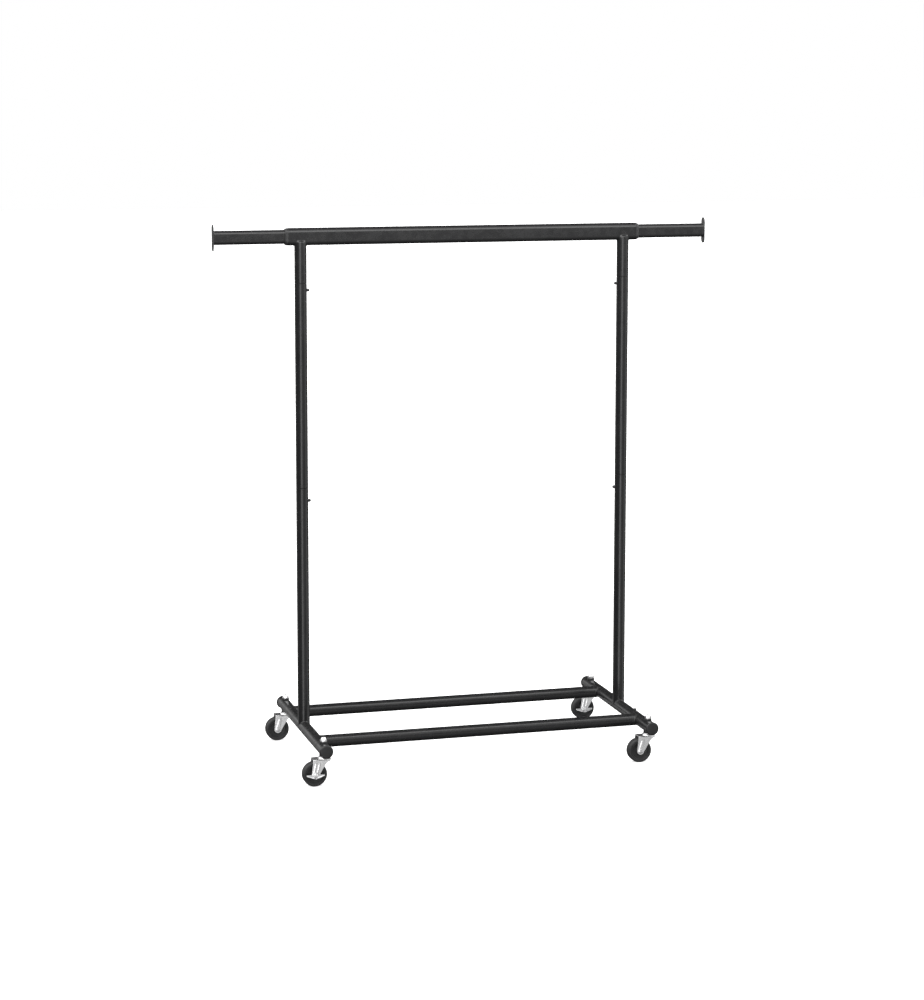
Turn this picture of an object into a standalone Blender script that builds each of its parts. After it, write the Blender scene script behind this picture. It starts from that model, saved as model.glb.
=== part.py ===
"""Rolling clothes rack on four swivel casters, with a hanging rail that extends at both ends.

Metres, +Z up, -Y is the front, +X the right-hand end. The origin is on the floor under the
middle of the rack. Round tubes plug into each other with a swaged end, and a snap button holds
each plug-in joint of the uprights and the side rails.
"""

import math

import bmesh
import bpy
from mathutils import Matrix

# --- driving dimensions ---------------------------------------------------------------------
GAP = 0.0003  # between pieces that touch
CUT = 0.001  # how far a cutter runs past the surface that it opens
ACROSS = 0.080  # length of a cutter that crosses a whole tube

TUBE_R = 0.0175
TUBE_WALL = 0.0015
BORE_R = TUBE_R - TUBE_WALL
SWAGE_R = BORE_R - GAP
SWAGE_BORE_R = SWAGE_R - TUBE_WALL
TUBE_STEPS = 20
HOLE_STEPS = 12
WHEEL_STEPS = 28

UPRIGHT_X = 0.484
SIDE_Z = 0.105
SIDE_END_Y = 0.300
FRONT_JOINT_Y = -0.237
REAR_JOINT_Y = 0.156
SIDE_SWAGE = 0.140
FRONT_BAR_Y = -0.181
REAR_BAR_Y = 0.175
SIDE_BUTTONS_Y = {"front": -0.150, "rear": 0.047}

RAIL_Z = 1.531
RAIL_HALF = 0.521
RAIL_H, RAIL_W, RAIL_WALL = 0.050, 0.025, 0.0012
ROD_H, ROD_W, ROD_WALL = 0.040, 0.020, 0.0012
ROD_INNER_X, ROD_OUTER_X = 0.420, 0.734
ROD_FLARE = 0.030
COLLAR_INNER_X, COLLAR_OUTER_X = 0.481, 0.5305
LIP_SHY, LIP_WALL = 0.0008, 0.0028  # of a collar, inside the rail's outline and about the rod
PLATE_H, PLATE_W, PLATE_T = 0.076, 0.026, 0.0025

UPPER_JOINT_Z = 1.3975
LOWER_JOINT_Z = 0.808
UPRIGHT_BUTTONS_Z = {"upper": 1.3785, "lower": 0.771}
UPRIGHT_SWAGE = 0.060

BUTTON_R = 0.0043
BUTTON_TIP = 0.0255  # from the tube's axis
BUTTON_FLANGE_R, BUTTON_FLANGE_TOP, BUTTON_FLANGE_T = 0.0060, 0.0124, 0.0016

STEM_Y = 0.262
STEM_R = 0.005
STEM_HEAD_R, STEM_HEAD_T = 0.0085, 0.0030  # of the kingpin's head, inside the fork
RACE_R, RACE_T, RACE_RISE = 0.0135, 0.0016, 0.0038  # of the fixed race, and above the fork
TRAIL = 0.027  # from the stem's axis back to the wheel's
WHEEL_R, WHEEL_HALF_T = 0.035, 0.013
TYRE_ROUND, WEB_DEPTH, HUB_R = 0.0042, 0.0035, 0.0095
FORK_TOP_Z, FORK_INSIDE, FORK_T = 0.079, 0.015, 0.002
FORK_HALF_Y = FORK_INSIDE + FORK_T
FORK_FOOT_R = 0.0105
FORK_BACK_X, FORK_FRONT_X = -0.0325, 0.0185  # of the legs' top, from the stem's axis
FORK_BEND = 0.003
HEAD_R, HEAD_RISE = 0.0165, 0.0035
FOOT_STEPS = 8
AXLE_R = 0.004
RIVET_R, RIVET_T = 0.0058, 0.0014
AXLE_NUT_H, AXLE_HEAD_H, BOLT_REACH = 0.0055, 0.0045, 0.0075
BRAKE_T = 0.0015
BRAKE_HALF_X = 0.0255
BRAKE_STATIONS = 6  # on each side of the axle
NUT_FLAT, AXLE_NUT_FLAT = 0.0085, 0.0055  # half of the width across flats
WASHER_R, WASHER_TOP, WASHER_DROP = 0.011, 0.0038, 0.0095
NUT_FOOT_Z = SIDE_Z + TUBE_R + WASHER_TOP + GAP
NUT_HEX_H, NUT_BORE = 0.0065, 0.0080
NUT_DOME_R, NUT_DOME_H = 0.0078, 0.0075
CAP_R, CAP_T, CAP_PLUG = 0.0196, 0.0045, 0.012

SIDES = {"left": -1, "right": 1}
CORNERS = {
    "front_left": (-1, -1),
    "front_right": (1, -1),
    "rear_left": (-1, 1),
    "rear_right": (1, 1),
}
BRAKED = ("front_left", "rear_right")


# --- scene, materials and the ways of making a shape ----------------------------------------
def clear_scene():
    for obj in list(bpy.data.objects):
        bpy.data.objects.remove(obj, do_unlink=True)


def new_collection(name):
    collection = bpy.data.collections.new(name)
    bpy.context.scene.collection.children.link(collection)
    return collection


def new_material(name, color, roughness, metallic):
    material = bpy.data.materials.new(name)
    material.use_nodes = True
    shader = material.node_tree.nodes["Principled BSDF"]
    shader.inputs["Base Color"].default_value = (*color, 1)
    shader.inputs["Roughness"].default_value = roughness
    shader.inputs["Metallic"].default_value = metallic
    material.diffuse_color = (*color, 1)
    return material


def object_of(mesh, name):
    obj = bpy.data.objects.new(name, mesh)
    CUTTERS.objects.link(obj)
    return obj


def facing_out(mesh):
    work = bmesh.new()
    work.from_mesh(mesh)
    bmesh.ops.remove_doubles(work, verts=work.verts, dist=1e-6)
    bmesh.ops.recalc_face_normals(work, faces=work.faces)
    work.to_mesh(mesh)
    work.free()
    return mesh


def evaluated_mesh(obj):
    """The object's mesh as its modifiers leave it, with the object itself removed."""
    graph = bpy.context.evaluated_depsgraph_get()
    mesh = bpy.data.meshes.new_from_object(obj.evaluated_get(graph))
    mesh.transform(obj.matrix_world)
    bpy.data.objects.remove(obj, do_unlink=True)
    return facing_out(mesh)


def turned(profile, steps, hollow=False):
    """A profile of (radius, height) points turned about Z. It runs down the outer side."""
    mesh = bpy.data.meshes.new("profile")
    count = len(profile)
    edges = [(i, i + 1) for i in range(count - 1)]
    if hollow:
        edges.append((count - 1, 0))
    mesh.from_pydata([(radius, 0, height) for radius, height in profile], edges, [])
    obj = object_of(mesh, "turned")
    screw = obj.modifiers.new("Screw", "SCREW")
    screw.steps = screw.render_steps = steps
    screw.use_merge_vertices = True
    screw.merge_threshold = 1e-6
    bpy.context.view_layer.update()
    return evaluated_mesh(obj)


TO_AXIS = {
    "Z": Matrix.Identity(4),
    "Y": Matrix(((1, 0, 0, 0), (0, 0, -1, 0), (0, 1, 0, 0), (0, 0, 0, 1))),
    "X": Matrix(((0, 0, 1, 0), (1, 0, 0, 0), (0, 1, 0, 0), (0, 0, 0, 1))),
}


def prism(outlines, depth, axis):
    """Outlines, the first with the others as holes, extruded by depth about the middle.

    Their points are (x, y) for axis Z, (x, z) for axis Y and (y, z) for axis X.
    """
    curve = bpy.data.curves.new("outline", "CURVE")
    curve.dimensions = "2D"
    curve.fill_mode = "BOTH"
    curve.extrude = depth / 2
    for outline in outlines:
        spline = curve.splines.new("POLY")
        spline.points.add(len(outline) - 1)
        for point, (u, v) in zip(spline.points, outline):
            point.co = (u, v, 0, 1)
        spline.use_cyclic_u = True
    obj = object_of(curve, "prism")
    bpy.context.view_layer.update()
    mesh = evaluated_mesh(obj)
    mesh.transform(TO_AXIS[axis])
    return facing_out(mesh)


ALONG_X = Matrix.Rotation(math.pi / 2, 4, "Y")
ALONG_Y = Matrix.Rotation(-math.pi / 2, 4, "X")
ALONG = {"X": ALONG_X, "Y": ALONG_Y, "Z": Matrix.Identity(4)}


def rod(radius, low, high, axis="Z", steps=TUBE_STEPS):
    """A plain cylinder on an axis through the origin, from low to high."""
    mesh = bpy.data.meshes.new("rod")
    work = bmesh.new()
    bmesh.ops.create_cone(
        work, cap_ends=True, segments=steps, radius1=radius, radius2=radius, depth=high - low
    )
    work.to_mesh(mesh)
    work.free()
    mesh.transform(Matrix.Translation((0, 0, (low + high) / 2)))
    mesh.transform(ALONG[axis])
    return mesh


def moved(mesh, x=0.0, y=0.0, z=0.0):
    copy = mesh.copy()
    copy.transform(Matrix.Translation((x, y, z)))
    return copy


def combined(operation, mesh, *others):
    """The mesh after a Boolean with each of the others in turn."""
    obj = object_of(mesh, "body")
    cutters = [object_of(other, "cutter") for other in others]
    for cutter in cutters:
        cutter.hide_render = True
        cutter.display_type = "WIRE"
        modifier = obj.modifiers.new("Boolean", "BOOLEAN")
        modifier.operation = operation
        modifier.solver = "EXACT"
        modifier.object = cutter
    bpy.context.view_layer.update()
    result = evaluated_mesh(obj)
    for cutter in cutters:
        bpy.data.objects.remove(cutter, do_unlink=True)
    return result


def piece(name, mesh, material, location=(0, 0, 0), turn=None, parent=None):
    """A node: the mesh placed by its location and rotation, smooth where it is round."""
    obj = bpy.data.objects.new(name, mesh)
    mesh.materials.clear()
    mesh.materials.append(material)
    mesh.shade_smooth()
    mesh.set_sharp_from_angle(angle=math.radians(35))
    obj.location = location
    if turn is not None:
        obj.rotation_euler = turn.to_euler()
    obj.parent = parent
    RACK.objects.link(obj)
    return obj


def pivot(name, location, parent=None):
    """An empty on a joint's axis, which carries the pieces that move with it."""
    empty = bpy.data.objects.new(name, None)
    empty.location = location
    empty.empty_display_size = 0.02
    empty.parent = parent
    RACK.objects.link(empty)
    return empty


# --- shapes that several pieces share -------------------------------------------------------
def oval(height, width, arc_steps=6):
    """A flat-sided oval as (y, z) points: straight sides, and a half round at top and bottom."""
    radius = width / 2
    rise = height / 2 - radius
    points = []
    for turn, middle in ((0, rise), (math.pi, -rise)):
        for i in range(arc_steps + 1):
            angle = turn + math.pi * i / arc_steps
            points.append((radius * math.cos(angle), middle + radius * math.sin(angle)))
    return points


def tube_mesh(low, high):
    """A plain round tube from low to high on Z."""
    profile = [(TUBE_R, high), (TUBE_R, low), (BORE_R, low), (BORE_R, high)]
    return turned(profile, TUBE_STEPS, hollow=True)


def swaged_tube_mesh(low, high, swage):
    """A tube from low to high on Z whose lower end is drawn down, to plug into the next one."""
    profile = [
        (TUBE_R, high),
        (TUBE_R, low),
        (SWAGE_R, low),
        (SWAGE_R, low - swage),
        (SWAGE_BORE_R, low - swage),
        (SWAGE_BORE_R, low + TUBE_WALL),
        (BORE_R, low + 3 * TUBE_WALL),
        (BORE_R, high),
    ]
    return turned(profile, TUBE_STEPS, hollow=True)


def button_hole(x=0.0, y=0.0, z=0.0, axis="X", sign=1):
    """The cutter of a snap button's hole, from inside the tube out through one side of it."""
    low, high = sorted((sign * BORE_R / 2, sign * (TUBE_R + CUT)))
    return moved(rod(BUTTON_R + GAP, low, high, axis, steps=HOLE_STEPS), x, y, z)


def button_mesh():
    """A snap button with its axis on Z, measured from the axis of its tube."""
    rounding = [
        (BUTTON_R * math.sin(a), BUTTON_TIP - BUTTON_R * (1 - math.cos(a)))
        for a in (math.radians(step) for step in (0, 45, 90))
    ]
    foot = BUTTON_FLANGE_TOP - BUTTON_FLANGE_T
    profile = [
        *rounding,
        (BUTTON_R, BUTTON_FLANGE_TOP),
        (BUTTON_FLANGE_R, BUTTON_FLANGE_TOP),
        (BUTTON_FLANGE_R, foot),
        (0, foot),
    ]
    return turned(profile, HOLE_STEPS)


# --- hanging rail and its extensions --------------------------------------------------------
def make_hanging_rail():
    inside = oval(RAIL_H - 2 * RAIL_WALL, RAIL_W - 2 * RAIL_WALL)
    mesh = prism([oval(RAIL_H, RAIL_W), inside], 2 * RAIL_HALF, "X")
    piece("hanging_rail", mesh, BLACK_STEEL, (0, 0, RAIL_Z))


def make_rail_collar(side, sign):
    """A plastic collar: a thin sleeve inside the rail's end, and a tapered lip outside it."""
    opening = oval(ROD_H + 2 * GAP, ROD_W + 2 * GAP)
    bore = 2 * (RAIL_WALL + GAP)
    lip_start = RAIL_HALF + GAP
    sleeve_end = lip_start + CUT
    sleeve = prism([oval(RAIL_H - bore, RAIL_W - bore)], sleeve_end - COLLAR_INNER_X, "X")
    mesh = moved(sleeve, (sleeve_end + COLLAR_INNER_X) / 2)
    lip = tapered_oval(
        (RAIL_H - LIP_SHY, RAIL_W - LIP_SHY),
        (ROD_H + LIP_WALL, ROD_W + LIP_WALL),
        lip_start,
        COLLAR_OUTER_X,
    )
    mesh = combined("UNION", mesh, lip)
    bore_cutter = moved(prism([opening], 2 * ACROSS, "X"), RAIL_HALF)
    mesh = combined("DIFFERENCE", mesh, bore_cutter)
    mirror = Matrix.Rotation(math.pi, 4, "Z") if sign < 0 else Matrix.Identity(4)
    mesh.transform(mirror)
    piece(f"rail_collar_{side}", mesh, BLACK_PLASTIC, (0, 0, RAIL_Z))


def tapered_oval(start, end, low, high):
    """A solid lofted from one oval to a smaller one along X, with a short straight start."""
    straight = low + (high - low) * 0.35
    sections = [(low, start), (straight, start), (high, end)]
    mesh = bpy.data.meshes.new("taper")
    work = bmesh.new()
    rings = []
    for x, (height, width) in sections:
        rings.append([work.verts.new((x, y, z)) for y, z in oval(height, width)])
    for first, second in zip(rings, rings[1:]):
        for i in range(len(first)):
            j = (i + 1) % len(first)
            work.faces.new((first[i], first[j], second[j], second[i]))
    work.faces.new(rings[0])
    work.faces.new(rings[-1])
    bmesh.ops.recalc_face_normals(work, faces=work.faces)
    work.to_mesh(mesh)
    work.free()
    return mesh


def make_extension(side, sign):
    """A rod that slides in the rail, flared at its inner end, with a plate on its outer end."""
    carrier = pivot(f"extension_{side}_slide", (sign * RAIL_HALF, 0, RAIL_Z))
    length = ROD_OUTER_X - ROD_INNER_X
    inside = oval(ROD_H - 2 * ROD_WALL, ROD_W - 2 * ROD_WALL)
    tube = prism([oval(ROD_H, ROD_W)], length, "X")
    clearance = 2 * (RAIL_WALL + 2 * GAP)
    flare = prism([oval(RAIL_H - clearance, RAIL_W - clearance)], ROD_FLARE, "X")
    flare = moved(flare, -sign * (length - ROD_FLARE) / 2)
    mesh = combined("UNION", tube, flare)
    mesh = combined("DIFFERENCE", mesh, prism([inside], length + 2 * CUT, "X"))
    middle = (ROD_INNER_X + ROD_OUTER_X) / 2
    offset = sign * (middle - RAIL_HALF)
    piece(f"extension_rod_{side}", mesh, BLACK_STEEL, (offset, 0, 0), parent=carrier)
    plate = prism([oval(PLATE_H, PLATE_W, arc_steps=12)], PLATE_T, "X")
    plate_x = sign * (ROD_OUTER_X + GAP + PLATE_T / 2 - RAIL_HALF)
    piece(f"end_plate_{side}", plate, BLACK_STEEL, (plate_x, 0, 0), parent=carrier)


# --- uprights -------------------------------------------------------------------------------
def make_upright(side, sign):
    x = sign * UPRIGHT_X
    upper_z, lower_z = UPRIGHT_BUTTONS_Z["upper"], UPRIGHT_BUTTONS_Z["lower"]
    inward = -sign

    stub = swaged_tube_mesh(UPPER_JOINT_Z, RAIL_Z, UPRIGHT_SWAGE)
    rail = moved(prism([oval(RAIL_H + 2 * GAP, RAIL_W + 2 * GAP)], ACROSS, "X"), z=RAIL_Z)
    half = ACROSS / 2
    square = [(-half, 0), (half, 0), (half, ACROSS), (-half, ACROSS)]
    above = moved(prism([square], ACROSS, "X"), z=RAIL_Z - RAIL_H / 2 + RAIL_W / 2)
    stub = combined("DIFFERENCE", stub, above, rail, button_hole(z=upper_z, sign=inward))
    piece(f"rail_stub_{side}", stub, BLACK_STEEL, (x, 0, 0))

    middle = swaged_tube_mesh(LOWER_JOINT_Z, UPPER_JOINT_Z - GAP, UPRIGHT_SWAGE)
    holes = [button_hole(z=z, sign=inward) for z in (upper_z, lower_z)]
    piece(f"upright_middle_{side}", combined("DIFFERENCE", middle, *holes), BLACK_STEEL, (x, 0, 0))

    lower = tube_mesh(SIDE_Z, LOWER_JOINT_Z - GAP)
    saddle = moved(rod(TUBE_R + GAP, -half, half, "Y"), z=SIDE_Z)
    lower = combined("DIFFERENCE", lower, saddle, button_hole(z=lower_z, sign=inward))
    piece(f"upright_lower_{side}", lower, BLACK_STEEL, (x, 0, 0))

    turn = Matrix.Rotation(inward * math.pi / 2, 4, "Y")
    for level, z in UPRIGHT_BUTTONS_Z.items():
        piece(f"snap_button_{level}_{side}", button_mesh(), BLACK_PLASTIC, (x, 0, z), turn)


# --- base -----------------------------------------------------------------------------------
def make_side_rail(side, sign):
    """The middle tube of one side of the base, which both corner tubes plug into."""
    mesh = tube_mesh(FRONT_JOINT_Y + GAP, REAR_JOINT_Y - GAP)
    mesh.transform(ALONG_Y)
    holes = [button_hole(y=y, axis="Z") for y in SIDE_BUTTONS_Y.values()]
    mesh = combined("DIFFERENCE", mesh, *holes)
    piece(f"side_rail_{side}", mesh, BLACK_STEEL, (sign * UPRIGHT_X, 0, SIDE_Z))
    for end, y in SIDE_BUTTONS_Y.items():
        location = (sign * UPRIGHT_X, y, SIDE_Z)
        piece(f"snap_button_{end}_{side}", button_mesh(), BLACK_PLASTIC, location)


def make_corner_tube(corner, x_sign, y_sign):
    """A corner of the base: the end cap closes it, and the caster's stem goes down through it."""
    joint = REAR_JOINT_Y if y_sign > 0 else -FRONT_JOINT_Y
    mesh = swaged_tube_mesh(joint, SIDE_END_Y, SIDE_SWAGE)
    mesh.transform(ALONG_Y if y_sign > 0 else ALONG_Y @ Matrix.Rotation(math.pi, 4, "X"))
    stem = rod(STEM_R + GAP, -ACROSS / 2, ACROSS / 2, steps=HOLE_STEPS)
    stem = moved(stem, y=y_sign * STEM_Y)
    button_y = SIDE_BUTTONS_Y["rear" if y_sign > 0 else "front"]
    mesh = combined("DIFFERENCE", mesh, stem, button_hole(y=button_y, axis="Z"))
    piece(f"corner_tube_{corner}", mesh, BLACK_STEEL, (x_sign * UPRIGHT_X, 0, SIDE_Z))


def make_bar(name, y):
    """A long bar between the side rails, with its ends fish-mouthed to fit round them."""
    half = UPRIGHT_X
    mesh = tube_mesh(-half, half)
    mesh.transform(ALONG_X)
    side = rod(TUBE_R + GAP, -ACROSS / 2, ACROSS / 2, "Y")
    mesh = combined("DIFFERENCE", mesh, moved(side, x=-half), moved(side, x=half))
    piece(name, mesh, BLACK_STEEL, (0, y, SIDE_Z))


def make_end_cap(corner, x_sign, y_sign):
    profile = [
        (0, CAP_T),
        (CAP_R * 0.62, CAP_T * 0.93),
        (CAP_R * 0.90, CAP_T * 0.68),
        (CAP_R, CAP_T * 0.35),
        (CAP_R, GAP),
        (BORE_R - GAP, GAP),
        (BORE_R - GAP, -CAP_PLUG),
        (0, -CAP_PLUG),
    ]
    turn = ALONG_Y if y_sign > 0 else Matrix.Rotation(math.pi / 2, 4, "X")
    location = (x_sign * UPRIGHT_X, y_sign * SIDE_END_Y, SIDE_Z)
    piece(f"end_cap_{corner}", turned(profile, TUBE_STEPS), BLACK_PLASTIC, location, turn)


# --- casters, modelled about the stem's axis at floor level ---------------------------------
def stem_mesh():
    """A kingpin head inside the fork, the shank, and the fixed upper race under the tube."""
    top = NUT_FOOT_Z + NUT_BORE - 2 * GAP
    race = FORK_TOP_Z + RACE_RISE
    head = FORK_TOP_Z - FORK_T - GAP
    profile = [
        (0, top),
        (STEM_R, top),
        (STEM_R, race + RACE_T),
        (RACE_R - CUT, race + RACE_T * 0.6),
        (RACE_R, race),
        (STEM_R, race),
        (STEM_R, head),
        (STEM_HEAD_R, head),
        (STEM_HEAD_R - CUT, head - STEM_HEAD_T),
        (0, head - STEM_HEAD_T),
    ]
    return turned(profile, HOLE_STEPS)


def hexagon(flat):
    corner_r = flat / math.cos(math.radians(30))
    corners = [math.radians(60 * i) for i in range(6)]
    return [(corner_r * math.cos(angle), corner_r * math.sin(angle)) for angle in corners]


def nut_mesh():
    """A dome nut whose blind bore is closed at the top, standing on the saddle washer."""
    foot = NUT_FOOT_Z
    body = moved(prism([hexagon(NUT_FLAT)], NUT_HEX_H, "Z"), z=foot + NUT_HEX_H / 2)
    arc = [math.radians(step) for step in (0, 45, 90)]
    base = foot + NUT_HEX_H - CUT
    dome = [(NUT_DOME_R * math.sin(a), base + NUT_DOME_H * math.cos(a)) for a in arc]
    dome += [(NUT_DOME_R, base - CUT), (0, base - CUT)]
    mesh = combined("UNION", body, turned(dome, HOLE_STEPS))
    bore = rod(STEM_R + GAP, foot - CUT, foot + NUT_BORE, steps=HOLE_STEPS)
    return combined("DIFFERENCE", mesh, bore)


def washer_mesh():
    """A round washer hollowed underneath, so that it sits on the tube like a saddle."""
    top = SIDE_Z + TUBE_R + WASHER_TOP
    body = rod(WASHER_R, top - WASHER_DROP, top)
    tube = moved(rod(TUBE_R + GAP, -ACROSS / 2, ACROSS / 2, "Y"), z=SIDE_Z)
    hole = rod(STEM_R + GAP, top - ACROSS / 2, top + CUT, steps=HOLE_STEPS)
    return combined("DIFFERENCE", body, tube, hole)


def fork_mesh():
    """A fork pressed from sheet: a channel cut to the legs' outline, with a round head on top."""
    out, inside, top = FORK_HALF_Y, FORK_INSIDE, FORK_TOP_Z
    low, under = WHEEL_R - 2 * FORK_FOOT_R, top - FORK_T
    eased = FORK_BEND * 0.3
    section = [
        (-out, low),
        (-inside, low),
        (-inside, under),
        (inside, under),
        (inside, low),
        (out, low),
        (out, top - FORK_BEND),
        (out - eased, top - eased),
        (out - FORK_BEND, top),
        (FORK_BEND - out, top),
        (eased - out, top - eased),
        (-out, top - FORK_BEND),
    ]
    channel = prism([section], 2 * ACROSS, "X")
    foot = []
    for i in range(FOOT_STEPS + 1):
        angle = math.radians(190 + 155 * i / FOOT_STEPS)
        foot.append((-TRAIL + FORK_FOOT_R * math.cos(angle), WHEEL_R + FORK_FOOT_R * math.sin(angle)))
    sweep = [(-0.0010, 0.0580), (0.0085, 0.0715), (FORK_FRONT_X, top - 0.0030)]
    side = [*foot, *sweep, (FORK_FRONT_X, top + CUT), (FORK_BACK_X, top + CUT)]
    mesh = combined("INTERSECT", channel, prism([side], ACROSS, "Y"))
    rise = HEAD_RISE
    head = [(0, top + rise), (HEAD_R - 0.0025, top + rise), (HEAD_R, top + 0.0015)]
    head += [(HEAD_R, top - 0.0010), (0, top - 0.0010)]
    mesh = combined("UNION", mesh, turned(head, TUBE_STEPS))
    half = ACROSS / 2
    axle = moved(rod(AXLE_R + GAP, -half, half, "Y", steps=HOLE_STEPS), x=-TRAIL, z=WHEEL_R)
    stem = rod(STEM_R + GAP, top - half, top + half, steps=HOLE_STEPS)
    return combined("DIFFERENCE", mesh, stem, axle)


def wheel_mesh():
    """A tyre and its web in one, turned about Y, with a hub that is as wide as the tyre."""
    half = WHEEL_HALF_T
    side = [
        (WHEEL_R, half - TYRE_ROUND),
        (WHEEL_R - TYRE_ROUND, half),
        (WHEEL_R - 2 * TYRE_ROUND, half),
        (HUB_R + CUT, half - WEB_DEPTH),
        (HUB_R, half + CUT),
        (AXLE_R + GAP, half + CUT),
    ]
    upper = list(reversed(side))
    lower = [(radius, -height) for radius, height in side]
    mesh = turned([*upper, *lower], WHEEL_STEPS, hollow=True)
    mesh.transform(ALONG_Y)
    return mesh


def axle_mesh(braked):
    """A rivet through the legs, or a bolt with a hexagon nut outside the brake rocker."""
    if not braked:
        end = FORK_HALF_Y + GAP
        top = end + RIVET_T
        profile = [
            (0, top),
            (RIVET_R - CUT, top),
            (RIVET_R, end),
            (AXLE_R, end),
            (AXLE_R, -end),
            (RIVET_R, -end),
            (RIVET_R - CUT, -top),
            (0, -top),
        ]
        mesh = turned(profile, HOLE_STEPS)
        mesh.transform(ALONG_Y)
        return mesh
    back = FORK_HALF_Y + GAP
    front = FORK_HALF_Y + BRAKE_T + 3 * GAP
    shank = rod(AXLE_R, -front - BOLT_REACH, back + CUT, "Y", steps=HOLE_STEPS)
    outline = hexagon(AXLE_NUT_FLAT)
    nut = moved(prism([outline], AXLE_NUT_H, "Y"), y=-front - AXLE_NUT_H / 2)
    head = moved(prism([outline], AXLE_HEAD_H, "Y"), y=back + AXLE_HEAD_H / 2)
    return combined("UNION", shank, nut, head)


def brake_mesh():
    """A rocker about the axle: a wing on each side, bent out at the foot into a shallow pedal.

    Each station along X has three points: the upper edge, the bend and the pedal's edge.
    """
    mesh = bpy.data.meshes.new("brake")
    work = bmesh.new()
    rows = []
    for i in range(-BRAKE_STATIONS, BRAKE_STATIONS + 1):
        reach = i / BRAKE_STATIONS
        near = 1 - abs(reach)
        hub = 0.0060 * max(0.0, 1 - (reach / 0.36) ** 2) ** 0.5
        bend_z = -0.0014 - 0.0061 * near**0.7
        out = 0.0012 + 0.0058 * near**0.8
        points = (
            (0, 0.0014 + hub),
            (0, bend_z),
            (-out, bend_z - 0.0005 - 0.0020 * near),
        )
        rows.append([work.verts.new((BRAKE_HALF_X * reach, y, z)) for y, z in points])
    for first, second in zip(rows, rows[1:]):
        for i in range(2):
            work.faces.new((first[i], first[i + 1], second[i + 1], second[i]))
    bmesh.ops.recalc_face_normals(work, faces=work.faces)
    work.to_mesh(mesh)
    work.free()
    obj = object_of(mesh, "rocker")
    solidify = obj.modifiers.new("Solidify", "SOLIDIFY")
    solidify.thickness = BRAKE_T
    solidify.offset = 0
    bpy.context.view_layer.update()
    plate = evaluated_mesh(obj)
    hole = rod(AXLE_R + GAP, -HUB_R, HUB_R, "Y", steps=HOLE_STEPS)
    return combined("DIFFERENCE", plate, hole)


def make_caster(corner, x_sign, y_sign):
    x, y = x_sign * UPRIGHT_X, y_sign * STEM_Y
    piece(f"caster_stem_{corner}", SHARED["stem"].copy(), ZINC, (x, y, 0))
    piece(f"stem_nut_{corner}", SHARED["nut"].copy(), ZINC, (x, y, 0))
    piece(f"saddle_washer_{corner}", SHARED["washer"].copy(), BLACK_PLASTIC, (x, y, 0))
    swivel = pivot(f"caster_{corner}_swivel", (x, y, 0))
    piece(f"caster_fork_{corner}", SHARED["fork"].copy(), ZINC, parent=swivel)
    center = (-TRAIL, 0, WHEEL_R)
    piece(f"caster_wheel_{corner}", SHARED["wheel"].copy(), RUBBER, center, parent=swivel)
    braked = corner in BRAKED
    axle = SHARED["bolt" if braked else "rivet"].copy()
    piece(f"caster_axle_{corner}", axle, ZINC, center, parent=swivel)
    if braked:
        beside = (-TRAIL, -FORK_HALF_Y - GAP - BRAKE_T / 2, WHEEL_R)
        piece(f"brake_rocker_{corner}", SHARED["brake"].copy(), ZINC, beside, parent=swivel)


clear_scene()
RACK = new_collection("rolling_clothes_rack")
CUTTERS = new_collection("cutters")
BLACK_STEEL = new_material("black powder coat", (0.018, 0.018, 0.019), 0.35, 0.0)
BLACK_PLASTIC = new_material("black plastic", (0.020, 0.020, 0.021), 0.5, 0.0)
ZINC = new_material("zinc plated steel", (0.78, 0.78, 0.79), 0.3, 1.0)
RUBBER = new_material("black caster wheel", (0.028, 0.028, 0.029), 0.6, 0.0)

make_hanging_rail()
make_bar("front_bar", FRONT_BAR_Y)
make_bar("rear_bar", REAR_BAR_Y)
for side_name, side_sign in SIDES.items():
    make_rail_collar(side_name, side_sign)
    make_extension(side_name, side_sign)
    make_upright(side_name, side_sign)
    make_side_rail(side_name, side_sign)
SHARED = {
    "stem": stem_mesh(),
    "nut": nut_mesh(),
    "washer": washer_mesh(),
    "fork": fork_mesh(),
    "wheel": wheel_mesh(),
    "rivet": axle_mesh(braked=False),
    "bolt": axle_mesh(braked=True),
    "brake": brake_mesh(),
}
for corner_name, signs in CORNERS.items():
    make_corner_tube(corner_name, *signs)
    make_end_cap(corner_name, *signs)
    make_caster(corner_name, *signs)
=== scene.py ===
"""Looks of the rolling clothes rack: fine surfaces, welds, materials, studio and camera.

Metres, +Z up, -Y is the front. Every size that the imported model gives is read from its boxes.
"""

import math

import bmesh
import bpy
from mathutils import Matrix, Vector


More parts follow.
